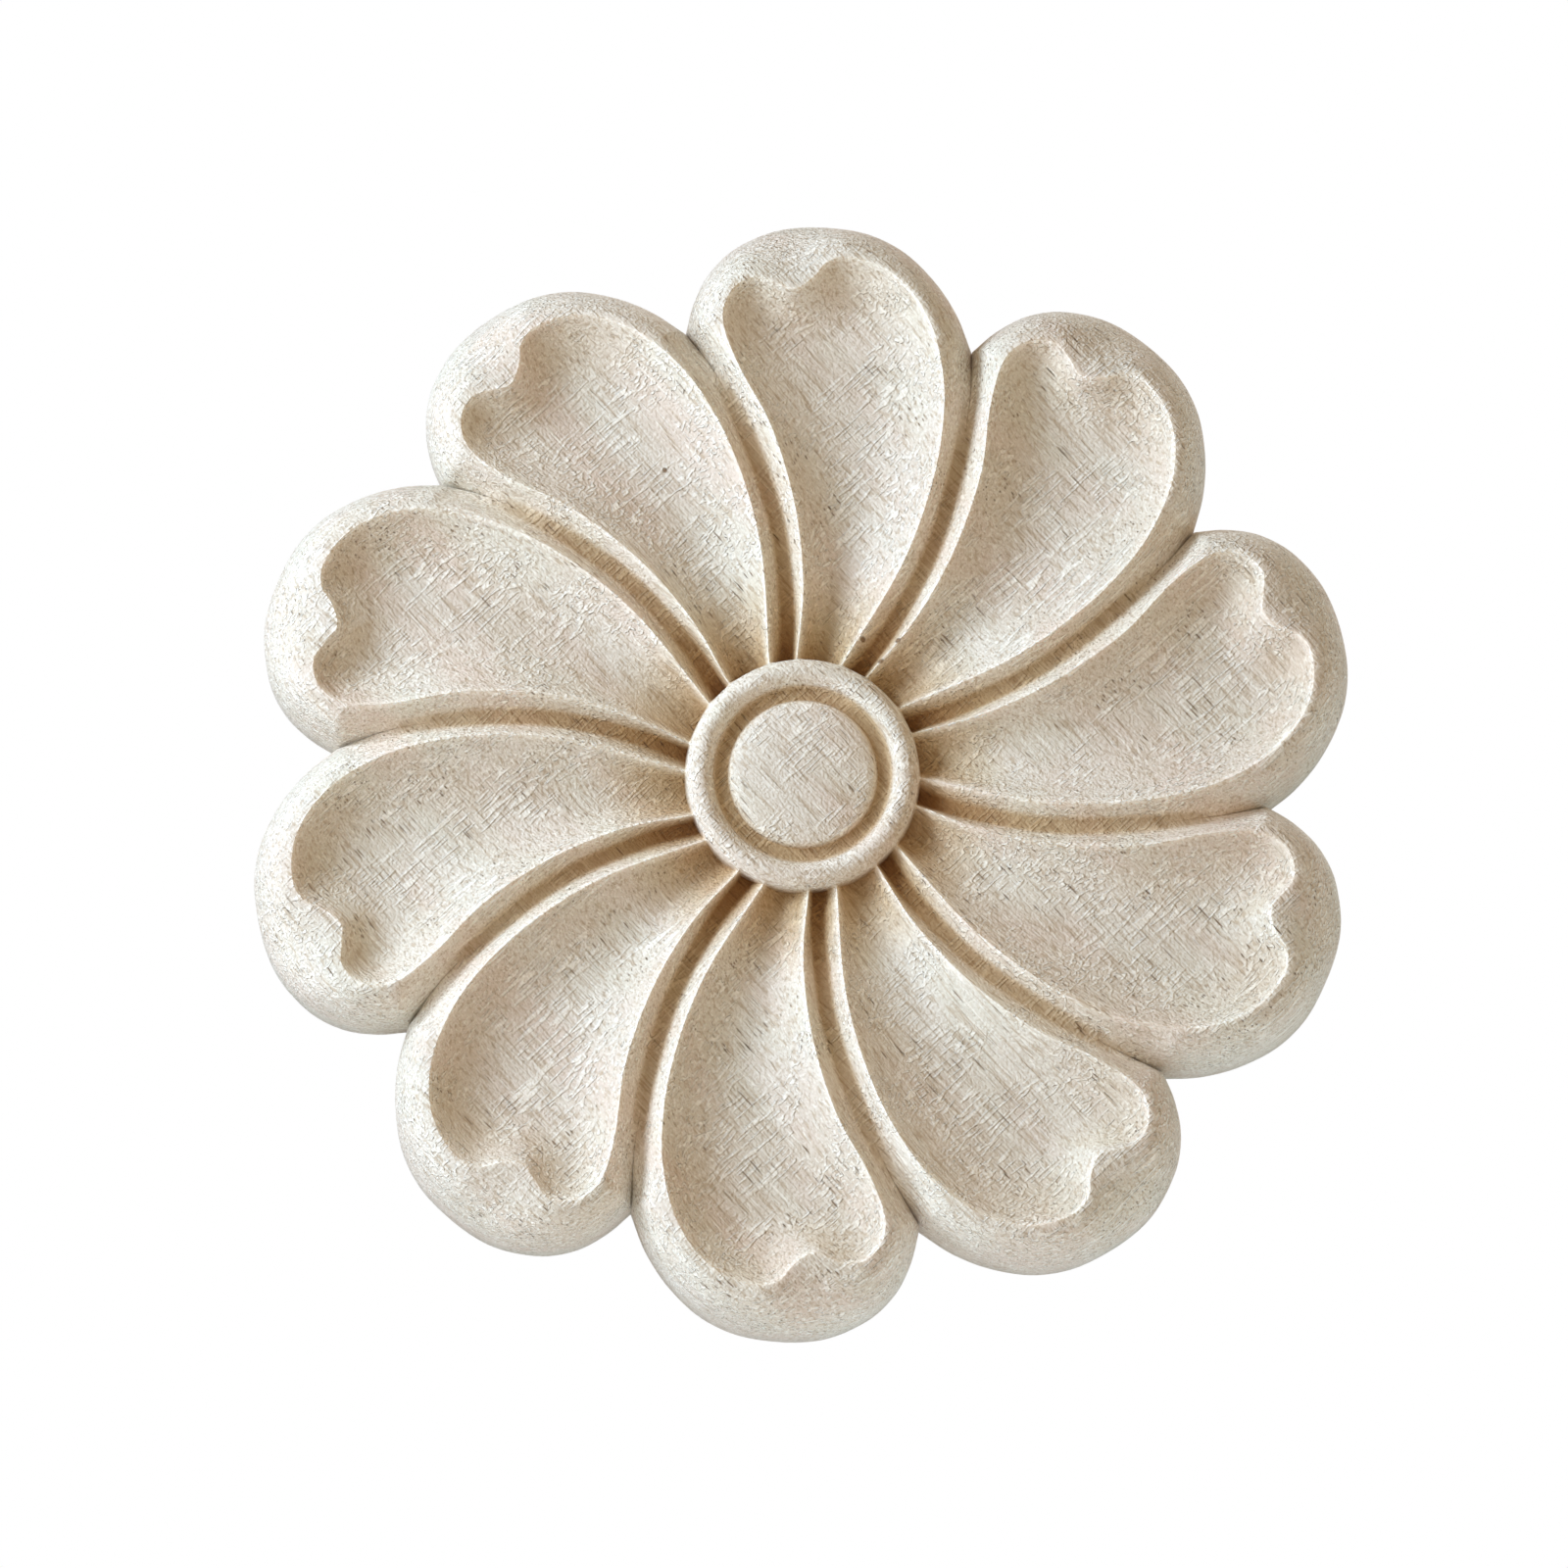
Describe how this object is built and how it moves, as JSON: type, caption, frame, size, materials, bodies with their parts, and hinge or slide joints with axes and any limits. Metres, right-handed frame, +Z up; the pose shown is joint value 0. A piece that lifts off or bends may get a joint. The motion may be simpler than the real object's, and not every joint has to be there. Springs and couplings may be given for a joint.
{
  "type": "wood rosette applique",
  "caption": "Round carved wood rosette with swirling scooped petals, a ringed button and a flat back for gluing to a surface.",
  "frame": {"origin": "centre of the flat back, where the rosette is fixed to a surface", "axes": "+Y out of the flat back into the surface behind, -Y towards the viewer of the carved face, +Z up through one petal, +X to the right seen from the front"},
  "size_m": [0.1166, 0.0125, 0.1198],
  "materials": {
    "bare_wood": "unfinished, as left by the carving cutter"
  },
  "bodies": {
    "root": {"carved_rosette": "bare_wood"}
  },
  "joints": []
}
